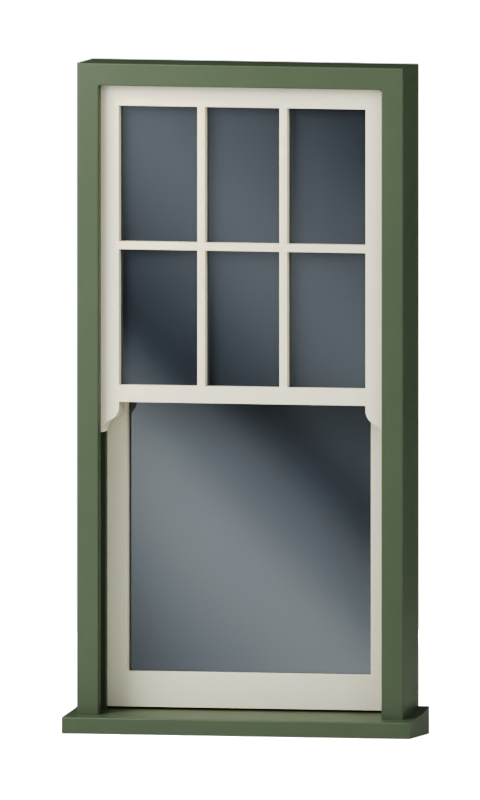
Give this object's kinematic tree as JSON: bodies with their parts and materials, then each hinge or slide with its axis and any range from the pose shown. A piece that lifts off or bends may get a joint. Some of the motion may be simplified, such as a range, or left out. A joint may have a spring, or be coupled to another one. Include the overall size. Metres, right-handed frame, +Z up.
{
  "type": "sash window",
  "caption": "Vertical sliding sash window: painted timber frame with a sloping sill, a barred upper sash with horns and a plain lower sash, each held by spiral balances.",
  "frame": {"origin": "middle of the overall width and depth, on the sill's underside", "axes": "+Z up, +Y from outside to inside, +X to the right seen from outside"},
  "size_m": [0.959, 0.2378, 1.8],
  "materials": {
    "frame_paint": "satin paint",
    "sash_paint": "satin paint",
    "glass": "polished, dark",
    "hardware": "polished",
    "screws": "zinc plated",
    "balance_metal": "satin",
    "balance_steel": "plated",
    "nylon": "moulded"
  },
  "bodies": {
    "frame": {"sill": "frame_paint", "jamb_left": "frame_paint", "jamb_right": "frame_paint", "head": "frame_paint", "outer_lining_left": "frame_paint", "outer_lining_right": "frame_paint", "outer_lining_head": "frame_paint", "inner_lining_left": "frame_paint", "inner_lining_right": "frame_paint", "inner_lining_head": "frame_paint", "parting_bead_left": "frame_paint", "parting_bead_right": "frame_paint", "parting_bead_head": "frame_paint", "staff_bead_left": "frame_paint", "staff_bead_right": "frame_paint", "staff_bead_head": "frame_paint", "staff_bead_sill": "frame_paint", "upper_tube_left": "balance_metal", "upper_tube_right": "balance_metal", "lower_tube_left": "balance_metal", "lower_tube_right": "balance_metal", "balance_nuts": "nylon", "balance_springs": "balance_steel", "balance_screws": "screws"},
    "upper_sash": {"upper_stile_left": "sash_paint", "upper_stile_right": "sash_paint", "upper_top_rail": "sash_paint", "upper_meeting_rail": "sash_paint", "upright_bar_left": "sash_paint", "upright_bar_right": "sash_paint", "cross_bar_left": "sash_paint", "cross_bar_middle": "sash_paint", "cross_bar_right": "sash_paint", "pane_top_left": "glass", "pane_top_middle": "glass", "pane_top_right": "glass", "pane_low_left": "glass", "pane_low_middle": "glass", "pane_low_right": "glass", "upper_glazing_beads": "sash_paint", "upper_rod_left": "balance_metal", "upper_rod_right": "balance_metal", "upper_rod_feet": "balance_steel", "fastener_keep": "hardware", "upper_sash_screws": "screws"},
    "lower_sash": {"lower_stile_left": "sash_paint", "lower_stile_right": "sash_paint", "lower_meeting_rail": "sash_paint", "bottom_rail": "sash_paint", "lower_pane": "glass", "lower_glazing_beads": "sash_paint", "lower_rod_left": "balance_metal", "lower_rod_right": "balance_metal", "lower_rod_feet": "balance_steel", "fastener_base": "hardware", "lift_left": "hardware", "lift_right": "hardware", "lower_sash_screws": "hardware"},
    "fastener_arm": {"fastener_arm": "hardware"}
  },
  "joints": [
    {"name": "upper_sash_slide", "type": "slide", "parent": "frame", "child": "upper_sash", "axis": [0, 0, -1], "range_m": [0, 0.74]},
    {"name": "lower_sash_slide", "type": "slide", "parent": "frame", "child": "lower_sash", "axis": [0, 0, 1], "range_m": [0, 0.74]},
    {"name": "fastener_pivot", "type": "hinge", "parent": "lower_sash", "child": "fastener_arm", "pos_m": [0, 0.0609, 0.9435], "axis": [0, 0, -1], "range_deg": [0, 45]}
  ]
}
